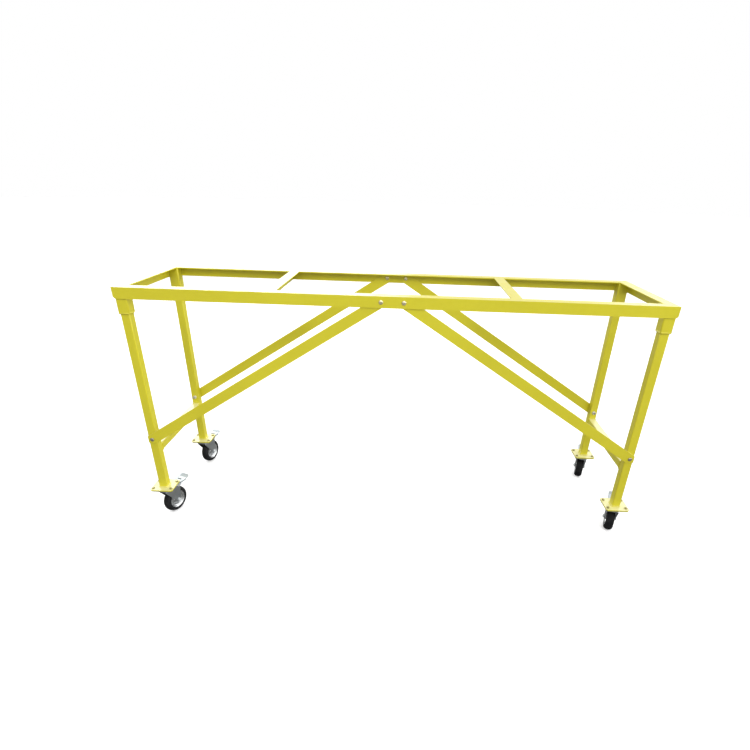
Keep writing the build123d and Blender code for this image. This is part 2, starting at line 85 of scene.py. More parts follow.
# Sizes of the weld beads, which the CAD part doesn't have.
FOOT_BEAD, MOUTH_BEAD, TIE_BEAD = 3.8 * MM, 5.2 * MM, 3.2 * MM
RAIL_BEAD, SEAM_BEAD, DECK_BEAD = 2.6 * MM, 2.4 * MM, 2.2 * MM


# ---------------------------------------------------------------- camera, floor and light

def add_camera():
    """Wide lens, held a little above the deck and in front of the middle."""
    data = bpy.data.cameras.new("camera")
    data.sensor_width = 36.0
    data.lens = 22.85
    data.shift_x = -0.0253
    data.shift_y = 0.0515
    data.clip_start = 0.01
    camera = bpy.data.objects.new("camera", data)
    yaw, down, roll = 1.2665, 26.123, 1.7337
    turn = Matrix.Rotation(math.radians(yaw), 4, "Z")
    turn = turn @ Matrix.Rotation(math.radians(90 - down), 4, "X")
    turn = turn @ Matrix.Rotation(math.radians(roll), 4, "Z")
    rail_low, rail_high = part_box("rail_front")
    place = (0.065, rail_low.y - 2.0082, rail_high.z + 0.4397)
    camera.matrix_world = Matrix.Translation(place) @ turn
    scene.collection.objects.link(camera)
    scene.camera = camera


def area_light(name, place, target, size_x, size_y, watts):
    """Rectangular light that faces its target."""
    data = bpy.data.lights.new(name, "AREA")
    data.shape = "RECTANGLE"
    data.size = size_x
    data.size_y = size_y
    data.energy = watts
    light = bpy.data.objects.new(name, data)
    light.location = place
    light.rotation_euler = (Vector(target) - Vector(place)).to_track_quat("-Z", "Y").to_euler()
    scene.collection.objects.link(light)


def add_lights():
    """A soft front light, and panels behind that the paint and the plated parts reflect."""
    area_light("back_panel", (-2.6, 4.6, 1.95), (0, 0, 1.1), 6.0, 1.1, 60)
    area_light("upper_left_panel", (-2.8, 4.7, 3.8), (0, 0, 1.0), 5.6, 2.4, 150)
    area_light("upper_right_panel", (4.6, 4.7, 3.8), (0, 0, 1.0), 3.0, 2.4, 60)
    area_light("front_box", (0.8, -5.2, 5.4), (0, 0, 0.8), 4.0, 3.0, 198)
    scene.view_settings.view_transform = "Standard"


class Graph:
    """Short way to lay out the nodes of a material or of the world."""

    def __init__(self, tree):
        self.tree = tree

    def put(self, socket, value):
        """Link a socket to the input, or set its value."""
        if isinstance(value, bpy.types.NodeSocket):
            self.tree.links.new(value, socket)
        else:
            socket.default_value = value

    def add(self, kind, inputs=None, **settings):
        """New node; the inputs are keyed by name or index."""
        node = self.tree.nodes.new("ShaderNode" + kind)
        for key, value in settings.items():
            setattr(node, key, value)
        for key, value in (inputs or {}).items():
            self.put(node.inputs[key], value)
        return node

    def axis(self, vector, index):
        """One coordinate of a vector."""
        return self.add("SeparateXYZ", {0: vector}).outputs[index]

    def span(self, value, start, end, low, high):
        """Map a value from one range to another, held at the ends."""
        inputs = {"Value": value, "From Min": start, "From Max": end, "To Min": low, "To Max": high}
        return self.add("MapRange", inputs).outputs["Result"]

    def combine(self, operation, a, b):
        return self.add("Math", {0: a, 1: b}, operation=operation).outputs[0]

    def ramp(self, factor, stops):
        """Colour ramp; a stop is (position, grey level or colour)."""
        node = self.add("ValToRGB", {"Fac": factor})
        ends = node.color_ramp.elements
        while len(ends) < len(stops):
            ends.new(0.5)
        for element, (position, colour) in zip(ends, stops):
            element.position = position
            if not isinstance(colour, tuple):
                colour = (colour, colour, colour)
            element.color = (*colour, 1)
        return node.outputs["Color"]

    def blend(self, factor, a, b):
        """Mix of two colours; the factor 0 gives a."""
        node = self.add("Mix", data_type="RGBA")
        for index, value in ((0, factor), (6, a), (7, b)):
            if isinstance(value, tuple):
                value = (*value, 1)
            self.put(node.inputs[index], value)
        return node.outputs[2]

    def bump(self, height, distance, strength=1.0, normal=None):
        inputs = {"Height": height, "Distance": distance, "Strength": strength}
        if normal:
            inputs["Normal"] = normal
        return self.add("Bump", inputs).outputs["Normal"]


class Surface(Graph):
    """A material of one Principled shader, in the object's own coordinates."""

    def __init__(self, name, **settings):
        self.material = bpy.data.materials.new(name)
        self.material.use_nodes = True
        super().__init__(self.material.node_tree)
        self.shader = self.tree.nodes["Principled BSDF"]
        for socket, value in settings.items():
            self.wear(socket.replace("_", " "), value)
        self.place = self.add("TexCoord").outputs["Object"]

    def wear(self, socket, value):
        """Give an input of the shader a value or a link."""
        self.put(self.shader.inputs[socket], value)

    def noise(self, scale, detail=2.0, roughness=0.5):
        inputs = {"Vector": self.place, "Scale": scale, "Detail": detail, "Roughness": roughness}
        return self.add("TexNoise", inputs).outputs["Fac"]


def add_world():
    """White to the camera; to the object, brighter far right, and darker far left and overhead."""
    world = bpy.data.worlds.new("studio")
    scene.world = world
    world.use_nodes = True
    graph = Graph(world.node_tree)
    direction = graph.add("TexCoord").outputs["Generated"]
    right = graph.span(graph.axis(direction, 0), 0.6, 1.0, 1.0, 3.4)
    left = graph.span(graph.axis(direction, 0), -0.62, -1.0, 0.0, -0.85)
    above = graph.span(graph.axis(direction, 2), 0.25, 1.0, 0.0, -0.3)
    level = graph.combine("ADD", graph.combine("ADD", right, left), above)
    seen = graph.add("LightPath").outputs["Is Camera Ray"]
    level = graph.add("Mix", {0: seen, 2: level, 3: 1.0}, data_type="FLOAT").outputs[0]
    sky = graph.tree.nodes["Background"]
    graph.put(sky.inputs["Color"], (1, 1, 1, 1))
    graph.put(sky.inputs["Strength"], level)


def add_floor():
    """Pale disc under the object. It throws back less light than the camera sees."""
    mesh = bpy.data.meshes.new("floor")
    form = bmesh.new()
    bmesh.ops.create_circle(form, cap_ends=True, radius=40.0, segments=64)
    form.to_mesh(mesh)
    form.free()
    floor = bpy.data.objects.new("floor", mesh)
    scene.collection.objects.link(floor)
    graph = Surface("pale_floor", Roughness=0.9)
    graph.wear("Base Color", (0.93, 0.93, 0.93, 1))
    graph.wear("Emission Color", (1, 1, 1, 1))
    graph.wear("Emission Strength", 0.22)
    dim = graph.add("BsdfDiffuse", {"Color": (0.22, 0.22, 0.22, 1)})
    seen = graph.add("LightPath").outputs["Is Camera Ray"]
    top = graph.add("MixShader", {0: seen, 1: dim.outputs[0], 2: graph.shader.outputs[0]})
    clear = graph.add("BsdfTransparent")
    under = graph.add("NewGeometry").outputs["Backfacing"]
    mix = graph.add("MixShader", {0: under, 1: top.outputs[0], 2: clear.outputs[0]})
    graph.tree.links.new(mix.outputs[0], graph.tree.nodes["Material Output"].inputs[0])
    mesh.materials.append(graph.material)


# ---------------------------------------------------------------- materials

def powder_coat(name, worn):
    """Semi-gloss yellow coat: orange peel, faint clouds, rubbed spots, and, low down, a pale film
    on up-facing faces that is partly dust and partly painted highlight.
    """
    graph = Surface(name, Coat_Weight=0.3, Coat_Roughness=0.14)
    broad = graph.noise(3.0, 4.0, 0.6)
    mottle = graph.noise(45.0, 5.0, 0.65)
    tone = graph.ramp(broad, [(0.3, (0.64, 0.572, 0.022)), (0.7, (0.70, 0.632, 0.027))])
    tone = graph.blend(graph.ramp(mottle, [(0.35, 0.0), (0.75, 0.16)]), tone, (0.58, 0.52, 0.010))
    scuff = graph.noise(160.0, 6.0, 0.7)
    low, high = (0.60, 0.68) if worn else (0.72, 0.80)
    bare = graph.ramp(scuff, [(low, 0.0), (high, 1.0)])
    tone = graph.blend(bare, tone, (0.80, 0.74, 0.30) if worn else (0.75, 0.68, 0.16))
    # Dust and painted highlight: up-facing faces low down are paled towards white, as the glare on
    # the tops would pale them.
    normal = graph.add("NewGeometry").outputs["Normal"]
    facing_up = graph.span(graph.axis(normal, 2), 0.6, 0.95, 0.0, 1.0)
    near_floor = graph.span(graph.axis(graph.place, 2), 0.5, 0.7, 0.42, 0.0)
    dust_and_highlight = graph.combine("MULTIPLY", facing_up, near_floor)
    dust_and_highlight = graph.combine("MULTIPLY", dust_and_highlight, graph.span(mottle, 0.3, 0.7, 0.8, 1.1))
    tone = graph.blend(dust_and_highlight, tone, (0.86, 0.86, 0.74))
    graph.wear("Base Color", tone)
    gloss = graph.ramp(graph.noise(18.0, 5.0, 0.6), [(0.3, 0.30), (0.75, 0.42)])
    graph.wear("Roughness", graph.blend(bare, gloss, (0.6, 0.6, 0.6)))
    peel = graph.bump(graph.noise(420.0, 2.0, 0.5), 0.00006, 0.6)
    graph.wear("Normal", graph.bump(broad, 0.0006, 0.25, peel))
    return graph.material


def plated_steel(name, colour, rough, spangle, metal=1.0):
    """Plated steel: cloudy passivation, faint spangle, fine grain and small dark specks."""
    graph = Surface(name, Metallic=metal)
    cloud = graph.noise(28.0, 5.0, 0.65)
    dark = tuple(0.72 * c for c in colour)
    warm = (colour[0] * 1.02, colour[1] * 0.99, colour[2] * 0.90)
    tone = graph.blend(graph.ramp(cloud, [(0.3, 0.0), (0.7, 1.0)]), dark, colour)
    tone = graph.blend(graph.ramp(graph.noise(9.0, 3.0), [(0.45, 0.0), (0.75, 0.7)]), tone, warm)
    cells = graph.add("TexVoronoi", {"Vector": graph.place, "Scale": spangle}).outputs["Color"]
    cells = graph.add("RGBToBW", {"Color": cells}).outputs[0]
    tone = graph.blend(graph.ramp(cells, [(0.0, 0.0), (1.0, 0.22)]), tone, dark)
    specks = graph.ramp(graph.noise(310.0, 4.0, 0.7), [(0.66, 0.0), (0.74, 0.8)])
    tone = graph.blend(specks, tone, (0.22, 0.21, 0.19))
    graph.wear("Base Color", tone)
    gloss = graph.ramp(graph.noise(70.0, 5.0, 0.7), [(0.25, rough * 0.75), (0.8, rough * 1.35)])
    graph.wear("Roughness", graph.blend(specks, gloss, (0.75, 0.75, 0.75)))
    fine = graph.bump(graph.noise(650.0, 3.0, 0.6), 0.00005, 0.5)
    graph.wear("Normal", graph.bump(cloud, 0.0003, 0.3, fine))
    return graph.material


def rubber(name):
    """Matt black tyre rubber with grey scuffing and a little floor dust."""
    graph = Surface(name, Specular_IOR_Level=0.2)
    patches = graph.noise(34.0, 6.0, 0.7)
    dust = graph.ramp(patches, [(0.48, 0.0), (0.8, 0.5)])
    tone = graph.blend(dust, (0.010, 0.010, 0.011), (0.055, 0.054, 0.052))
    graph.wear("Base Color", tone)
    graph.wear("Roughness", graph.ramp(patches, [(0.3, 0.55), (0.7, 0.85)]))
    grain = graph.bump(graph.noise(900.0, 3.0, 0.6), 0.00012, 0.6)
    graph.wear("Normal", graph.bump(graph.noise(120.0, 4.0, 0.6), 0.0002, 0.4, grain))
    return graph.material


SLOT_LOOKS = {
    "yellow_powder_coat": (
        powder_coat("yellow_powder_coat", False), powder_coat("yellow_coat_edge", True),
    ),
    # zinc_plate is kept darker than the pedal's zinc: painted shade for the forks, which lie in the
    # shadow of the foot plates.
    "zinc_plate": (plated_steel("zinc_plate", (0.50, 0.53, 0.55), 0.34, 70.0),),
    "rim_steel": (plated_steel("rim_steel", (0.72, 0.74, 0.75), 0.28, 90.0),),
    "bolt_steel": (plated_steel("bolt_steel", (0.80, 0.80, 0.78), 0.28, 260.0, 0.7),),
    "bearing_steel": (plated_steel("bearing_steel", (0.62, 0.62, 0.62), 0.22, 300.0),),
    "black_rubber": (rubber("black_rubber"),),
}
# Lighter, bluer copy of the zinc for the brake pedals: painted highlight, as the pedals catch the
# light.
LIT_PEDAL_LOOK = plated_steel("painted_highlight_zinc_plate", (0.56, 0.62, 0.65), 0.48, 80.0, 0.6)
# Lighter, warmer copy of the bolt zinc for the rail bolts (painted highlight and painted reflection
# of the yellow paint), and a darker copy for the leg bolts (painted shade).
LIT_RAIL_BOLT_LOOK = plated_steel("painted_highlight_zinc_bolt", (0.92, 0.84, 0.54), 0.26, 260.0, 0.75)
SHADED_LEG_BOLT_LOOK = plated_steel("painted_shade_zinc_bolt", (0.46, 0.43, 0.36), 0.34, 260.0, 0.9)
# Lighter, less metallic copy of the bolt zinc for the axles and their nuts: painted highlight for
# the glint on the nuts.
LIT_AXLE_LOOK = plated_steel("painted_highlight_zinc_nut", (0.86, 0.90, 0.92), 0.25, 260.0, 0.4)
GOLD_LOOK = plated_steel("gold_passivated_steel", (0.44, 0.40, 0.20), 0.36, 260.0)


# The first kind that a CAD node's name starts with gives its slot.
SLOT_OF_KIND = {
    "rail": "yellow_powder_coat", "deck_bar": "yellow_powder_coat", "leg": "yellow_powder_coat",
    "end_tie": "yellow_powder_coat", "foot_plate": "yellow_powder_coat",
    "brace_bolts": "bolt_steel", "brace_nuts": "bolt_steel", "brace": "yellow_powder_coat",
    "caster_bolts": "bolt_steel", "caster_nuts": "bolt_steel", "axle": "bolt_steel",
    "brake_pin": "bolt_steel", "swivel_balls": "bearing_steel", "tyre": "black_rubber",
    "rim": "rim_steel", "caster_plate": "zinc_plate", "kingpins": "zinc_plate",
    "fork": "zinc_plate", "brake_pedal": "zinc_plate",
}
BEVELS = {"yellow_powder_coat": 0.0008, "zinc_plate": 0.0004, "bolt_steel": 0.0003}


def dress_cad_nodes():
    """The carried-over CAD parts get their finish, and their sharp edges are broken."""
    for name, part in nodes.items():
        slot = next(SLOT_OF_KIND[kind] for kind in SLOT_OF_KIND if name.startswith(kind))
        looks = SLOT_LOOKS[slot]
        # The pedal takes the lighter zinc copy, painted highlight.
        if name.startswith("brake_pedal"):
            looks = (LIT_PEDAL_LOOK,)
        part.data.materials.clear()
        for look in looks:
            part.data.materials.append(look)
        if slot not in BEVELS:
            continue
        weld = part.modifiers.new("weld", "WELD")
        weld.merge_threshold = 0.00001
        flat = part.modifiers.new("flat", "DECIMATE")
        flat.decimate_type = "DISSOLVE"
        flat.angle_limit = math.radians(0.5)
        edge = part.modifiers.new("edge", "BEVEL")
        edge.width = BEVELS[slot]
        edge.segments = 2
        edge.limit_method = "ANGLE"
        edge.angle_limit = math.radians(40)
        edge.harden_normals = True
        edge.material = len(looks) - 1


# ---------------------------------------------------------------- shapes

class Form:
    """A mesh put together from turned and swept shapes, in metres. A matrix places them."""

    def __init__(self, matrix=None):
        self.points = []
        self.faces = []
        self.matrix = matrix or Matrix.Identity(4)

    def skin(self, rings, closed):
        """Faces between rings of points; open ends are capped."""
        start, size = len(self.points), len(rings[0])
        for ring in rings:
            self.points.extend(self.matrix @ point for point in ring)
        for i in range(len(rings) if closed else len(rings) - 1):
            a = start + i * size
            b = start + (i + 1) % len(rings) * size
            for k in range(size):
                m = (k + 1) % size
                self.faces.append((a + k, a + m, b + m, b + k))
        if not closed:
            last = start + (len(rings) - 1) * size
            self.faces.append([start + k for k in range(size)])
            self.faces.append([last + k for k in range(size)])

    def turned(self, origin, axis, profile, segments=48, closed=False, shape=None):
        """Turn (radius, height) points about an axis; shape(angle, height, radius) trims them."""
        axis = Vector(axis).normalized()
        side = axis.orthogonal().normalized()
        other = axis.cross(side)
        origin = Vector(origin)
        rings = []
        for radius, height in profile:
            ring = []
            for k in range(segments):
                angle = 2 * math.pi * k / segments
                reach = shape(angle, height, radius) if shape else radius
                out = side * math.cos(angle) + other * math.sin(angle)
                ring.append(origin + axis * height + out * reach)
            rings.append(ring)
        self.skin(rings, closed)

    def swept(self, path, radius_at, segments=8, closed=False):
        """Sweep a round section along (point, normal) pairs; radius_at(distance, angle, point)."""
        rings, distance = [], 0.0
        for i, (point, normal) in enumerate(path):
            after = path[(i + 1) % len(path)][0] if closed or i + 1 < len(path) else point
            before = path[i - 1][0] if closed or i else point
            along = (after - before).normalized()
            if i:
                distance += (point - path[i - 1][0]).length
            across = along.cross(normal).normalized()
            ring = []
            for k in range(segments):
                angle = 2 * math.pi * k / segments
                reach = radius_at(distance, angle, point)
                ring.append(point + (normal * math.cos(angle) + across * math.sin(angle)) * reach)
            rings.append(ring)
        self.skin(rings, closed)

    def piece(self, name, body, slot, look=None, sharp=35.0):
        """Make the object, and let it ride on a CAD body."""
        mesh = bpy.data.meshes.new(name)
        mesh.from_pydata([tuple(p) for p in self.points], [], self.faces)
        form = bmesh.new()
        form.from_mesh(mesh)
        bmesh.ops.recalc_face_normals(form, faces=form.faces)
        form.to_mesh(mesh)
        form.free()
        mesh.shade_smooth()
        mesh.set_sharp_from_angle(angle=math.radians(sharp))
        mesh.materials.append(look or SLOT_LOOKS[slot][0])
        obj = bpy.data.objects.new(name, mesh)
        scene.collection.objects.link(obj)
        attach(obj, body)
        return obj


# ---------------------------------------------------------------- welds

def bead_radius(size):
    """Crescent ripples of a hand-laid bead, a little uneven."""
    pitch = 3.6 * MM

    def radius_at(distance, angle, point):
        ripple = math.cos(2 * math.pi * (distance / pitch - 0.3 * math.cos(angle)))
        uneven = noise.noise(point * 140)
        return size * (1 + 0.05 * ripple + 0.12 * uneven)
    return radius_at


def straight(a, b, normal, step=0.8 * MM):
    """Path from a to b, with one normal all along."""
    a, b = Vector(a), Vector(b)
    count = max(2, round((b - a).length / step))
    normal = Vector(normal).normalized()
    return [(a.lerp(b, i / count), normal) for i in range(count + 1)]


def around(centre, u, v, lift, half, corner, step=0.8 * MM):
    """Closed path round a square tube; the normals lean from the tube's side towards lift."""
    path = []
    u, v, lift = Vector(u), Vector(v), Vector(lift)
    flat = half - corner
    for turn in range(4):
        side = (u, v, -u, -v)[turn]
        ahead = (v, -u, -v, u)[turn]
        count = round(2 * flat / step)
        for i in range(count):
            point = centre + side * half + ahead * (2 * flat * i / count - flat)
            path.append((point, (side + lift).normalized()))
        arc = max(3, round(corner * math.pi / 2 / step))
        middle = centre + side * flat + ahead * flat
        for i in range(arc):
            angle = math.pi / 2 * (i / arc)
            out = side * math.cos(angle) + ahead * math.sin(angle)
            path.append((middle + out * corner, (out + lift).normalized()))
    return path


def weld_around(form, centre, u, v, lift, half, size):
    """Bead round the end of a square tube."""
    form.swept(around(centre, u, v, lift, half, TUBE_CORNER), bead_radius(size), closed=True)


def weld_line(form, a, b, normal, size):
    """Straight bead from a to b."""
    form.swept(straight(a, b, normal), bead_radius(size))


def add_leg_welds(corner):
    """Beads at a leg's foot, at the mouth of its socket, and from the socket to the rail."""
    leg_low, leg_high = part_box("leg_" + corner)
    socket_low, socket_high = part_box("leg_socket_" + corner)
    middle = (leg_low + leg_high) / 2
    half = (leg_high.x - leg_low.x) / 2
    side = 1 if middle.x > 0 else -1
    face = -1 if corner.startswith("front") else 1
    form = Form()
    weld_around(form, Vector((middle.x, middle.y, leg_low.z)), X_AXIS, Y_AXIS, UP, half, FOOT_BEAD)
    form.piece("weld_foot_" + corner, "bench_frame", "yellow_powder_coat")
    form = Form()
    mouth = Vector((middle.x, middle.y, socket_low.z))
    weld_around(form, mouth, X_AXIS, Y_AXIS, -UP, half + 1 * MM, MOUTH_BEAD)
    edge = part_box("rail_front")[0].z
    roof = socket_high.z
    x_out, x_in = (socket_high.x, socket_low.x) if side > 0 else (socket_low.x, socket_high.x)
    y_out, y_in = (socket_low.y, socket_high.y) if face < 0 else (socket_high.y, socket_low.y)
    inset, margin = 4 * MM, 2 * MM
    near, far = (x_in + side * inset, y_out, edge), (x_out - side * inset, y_out, edge)
    weld_line(form, near, far, (0, face, -1), RAIL_BEAD)
    near, far = (x_out, y_in + face * inset, edge), (x_out, y_out - face * inset, edge)
    weld_line(form, near, far, (side, 0, -1), RAIL_BEAD)
    for x, y in ((x_in, y_out), (x_out, y_in)):
        lower, upper = (x, y, edge + margin), (x, y, roof - margin)
        weld_line(form, lower, upper, (-side, -face, 0), SEAM_BEAD)
    form.piece("weld_socket_" + corner, "bench_frame", "yellow_powder_coat")


def add_welds():
    """Beads of the legs, of the end ties, and of the deck bars on the rails."""
    for corner in CORNERS:
        add_leg_welds(corner)
    for name, inward in (("left", 1), ("right", -1)):
        low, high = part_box("end_tie_" + name)
        half = (high.z - low.z) / 2
        form = Form()
        for y, away in ((low.y, Y_AXIS), (high.y, -Y_AXIS)):
            end = Vector(((low.x + high.x) / 2, y, (low.z + high.z) / 2))
            weld_around(form, end, X_AXIS, UP, away, half, TIE_BEAD)
        form.piece("weld_tie_" + name, "bench_frame", "yellow_powder_coat")
        low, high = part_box("deck_bar_" + name)
        outer, inner = (low.x, high.x) if inward > 0 else (high.x, low.x)
        margin = 2 * MM
        form = Form()
        for y, away in ((low.y, 1), (high.y, -1)):
            inside = y + away * (ANGLE - ANGLE_T)
            under = high.z - ANGLE_T
            web = outer + inward * ANGLE_T
            start, end = (web, inside, under), (inner, inside, under)
            weld_line(form, start, end, (0, away, -1), DECK_BEAD)
            lower, upper = (outer, y, low.z + margin), (outer, y, under - margin)
            weld_line(form, lower, upper, (-inward, away, 0), DECK_BEAD)
        form.piece("weld_deck_" + name, "bench_frame", "yellow_powder_coat")


# ---------------------------------------------------------------- fasteners

def hex_shape(across_flats):
    """Radius of a hexagon, cut off by the chamfer's own radius."""
    flat = across_flats / 2

    def shape(angle, height, radius):
        part = (angle + math.pi / 6) % (math.pi / 3) - math.pi / 6
        return min(radius, flat / math.cos(part))
    return shape


def hex_profile(across_flats, height):
    """Layers of a chamfered hexagon, for hex_shape to cut."""
    inner, outer = across_flats * 0.475, across_flats * 0.6
    rise = (outer - inner) * math.tan(math.radians(30))
    steps = [i / 4 for i in range(5)]
    top = [(outer - (outer - inner) * t, height - rise + rise * t) for t in steps]
    bottom = [(inner + (outer - inner) * t, rise * t) for t in steps]
    return bottom + top


def thread_profile(radius, length, pitch):
    """Six layers to a turn of the thread, and a smaller tip."""
    count = max(4, round(length / (pitch / 6)))
    layers = [(radius, length * i / count) for i in range(count)]
    return layers + [(radius * 0.86, length)]


def thread_shape(radius, pitch):
    """Radius of a thread that winds about the axis."""
    def shape(angle, height, reach):
        phase = (height / pitch - angle / (2 * math.pi)) % 1.0
        return min(reach, radius - 0.54 * pitch * (1 - abs(2 * phase - 1)))
    return shape


def nut(form, origin, axis, across_flats, height):
    """Chamfered hexagon: a nut, or a bolt's head."""
    shape = hex_shape(across_flats)
    form.turned(origin, axis, hex_profile(across_flats, height), 48, shape=shape)


def thread_end(form, origin, axis, radius, length, pitch):
    """Threaded end of a bolt."""
    shape = thread_shape(radius, pitch)
    form.turned(origin, axis, thread_profile(radius, length, pitch), 24, shape=shape)


def washer(form, origin, axis):
    edge = 0.3 * MM
    profile = [
        (M10_R, 0), (WASHER_R - edge, 0), (WASHER_R, edge), (WASHER_R, WASHER_T - edge),
        (WASHER_R - edge, WASHER_T), (M10_R, WASHER_T),
    ]
    form.turned(origin, axis, profile, 40, closed=True)


def domed_head(form, origin, axis):
    """Round head: short vertical skirt, then the dome."""
    skirt = 0.9 * MM
    profile = [(DOME_R * 0.97, 0), (DOME_R, 0.25 * MM), (DOME_R, skirt)]
    for i in range(1, 10):
        angle = math.radians(88 * i / 9)
        height = skirt + (DOME_H - skirt) * math.sin(angle)
        profile.append((DOME_R * math.cos(angle) ** 0.8, height))
    form.turned(origin, axis, profile, 40)


def add_brace_fasteners():
    """Domed bolts that hold the braces to the rails and the legs, with washers and nuts."""
    bolts, nuts = Form(), Form()
    rail_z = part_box("rail_front")[1].z - RAIL_BOLT_DROP
    leg_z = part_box("brace_bolts")[0].z + DOME_R
    places = []
    for rail in ("rail_front", "rail_rear"):
        low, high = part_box(rail)
        head_y = low.y if rail == "rail_front" else high.y - ANGLE_T - BRACE_T
        for x in (-RAIL_BOLT_X, RAIL_BOLT_X):
            places.append((Vector((x, head_y, rail_z)), Y_AXIS, ANGLE_T + BRACE_T))
    for corner in CORNERS:
        low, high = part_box("leg_" + corner)
        out = -1 if corner.startswith("front") else 1
        y = (low.y if out < 0 else high.y) + out * BRACE_T
        grip = high.y - low.y + BRACE_T
        places.append((Vector(((low.x + high.x) / 2, y, leg_z)), Vector((0, -out, 0)), grip))
    for head, axis, grip in places:
        domed_head(bolts, head, -axis)
        end = head + axis * grip
        length = WASHER_T + M10_NUT_H + M10_OVER
        thread_end(bolts, end, axis, M10_R, length, M10_PITCH)
        washer(nuts, end, axis)
        nut(nuts, end + axis * WASHER_T, axis, M10_AF, M10_NUT_H)
    heads = bolts.piece("brace_bolt_set", "bench_frame", "bolt_steel", LIT_RAIL_BOLT_LOOK)
    heads.data.materials.append(SHADED_LEG_BOLT_LOOK)
    # The bolts on the rails get a lighter, warmer copy of the zinc, painted highlight with a
    # painted reflection of the yellow paint; the ones on the legs get a darker copy, painted shade.
    for face in heads.data.polygons:
        face.material_index = 1 if face.center.z < rail_z / 2 else 0
    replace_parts(heads, "brace_bolts")
    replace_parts(nuts.piece("brace_nut_set", "bench_frame", "bolt_steel"), "brace_nuts")


def add_caster_fasteners():
    """Four bolts to a caster, with their heads on the foot plate and nuts below."""
    bolts, nuts = Form(), Form()
    for corner in CORNERS:
        low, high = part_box("foot_plate_" + corner)
        middle = (low + high) / 2
        for sx in (-1, 1):
            for sy in (-1, 1):
                x, y = middle.x + sx * PATTERN_X, middle.y + sy * PATTERN_Y
                nut(bolts, (x, y, high.z), UP, M8_AF, M8_HEAD_H)
                under = Vector((x, y, low.z - CASTER_PLATE_T))
                thread_end(bolts, under, -UP, M8_R, M8_END, M8_PITCH)
                nut(nuts, under, -UP, M8_AF, M8_NUT_H)
    bolt_set = bolts.piece("caster_bolt_set", "bench_frame", "bolt_steel", GOLD_LOOK)
    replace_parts(bolt_set, "caster_bolts")
    nut_set = nuts.piece("caster_nut_set", "bench_frame", "bolt_steel", GOLD_LOOK)
    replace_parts(nut_set, "caster_nuts")


# ---------------------------------------------------------------- casters

def corner_matrix(corner):
    """Matrix of a caster: x trails to the wheel, y is the axle, and the origin is on the floor."""
    swivel = Vector(joints["swivel_" + corner]["pos_m"])
    wheel = Vector(joints["wheel_" + corner]["pos_m"])
    axle = Vector(joints["wheel_" + corner]["axis"])
    trail = Vector((wheel.x - swivel.x, wheel.y - swivel.y, 0))
    length = trail.length
    trail.normalize()
    matrix = Matrix((
        (trail.x, axle.x, 0, swivel.x), (trail.y, axle.y, 0, swivel.y), (0, 0, 1, 0), (0, 0, 0, 1),
    ))
    return matrix, Vector((length, 0, wheel.z))


def pin_place(corner, matrix):
    """Pin of the caster's brake pedal, in the caster's own coordinates."""
    return matrix.inverted() @ Vector(joints["brake_" + corner]["pos_m"])


def smooth_line(points, steps):
    """Catmull-Rom curve through (radius, height) points."""
    out = []
    for i in range(len(points) - 1):
        p0 = points[max(i - 1, 0)]
        p1, p2 = points[i], points[i + 1]
        p3 = points[min(i + 2, len(points) - 1)]
        for k in range(steps):
            t = k / steps
            t2, t3 = t * t, t ** 3
            out.append(tuple(
                0.5 * (
                    2 * b + (c - a) * t + (2 * a - 5 * b + 4 * c - d) * t2
                    + (3 * b - a - 3 * c + d) * t3
                )
                for a, b, c, d in zip(p0, p1, p2, p3)
            ))
    return out + [points[-1]]


def add_tyre(corner, matrix, centre):
    """Tyre with bulging walls, two raised wall rings and four grooves round a rounded tread."""
    form = Form(matrix)
    radius = centre.z
    wall = [
        (45.8, 16.9), (45.8, 18.6), (47.4, 19.4), (48.2, 20.15), (49.4, 20.2), (50.2, 19.8),
        (53.0, 20.3), (55.6, 20.2), (56.3, 20.5), (57.3, 20.3), (58.0, 19.5), (60.2, 18.4),
        (62.1, 16.9), (63.8, 14.9), (64.9, 12.9), (65.4, 11.6),
    ]
    wall = [(r * MM, y * MM) for r, y in wall]
    outer_groove, inner_groove, ridge = 9.5, 3.2, 6.3
    tread = []
    for groove in (outer_groove, inner_groove):
        crown = [radius - CROWNING * (groove + off) ** 2 * MM for off in (0.95, 0, -0.95)]
        deep = crown[1] - 1.6 * MM
        tread += [
            (crown[0], (groove + 1.05) * MM), (crown[0] - 0.25 * MM, (groove + 0.85) * MM),
            (deep, (groove + 0.6) * MM), (deep, (groove - 0.6) * MM),
            (crown[2] - 0.25 * MM, (groove - 0.85) * MM), (crown[2], (groove - 1.05) * MM),
        ]
        if groove == outer_groove:
            tread.append((radius - CROWNING * ridge ** 2 * MM, ridge * MM))
    outside = wall + tread
    mirrored = [(r, -y) for r, y in reversed(outside)]
    bore_r, bore_half = 41.2 * MM, 14.6 * MM
    bore = [(bore_r, -bore_half), (bore_r, bore_half)]
    form.turned(centre, (0, 1, 0), outside + [(radius, 0)] + mirrored + bore, 112, closed=True)
    piece = form.piece("tyre_detail_" + corner, "wheel_" + corner, "black_rubber", sharp=32)
    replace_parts(piece, "tyre_" + corner)


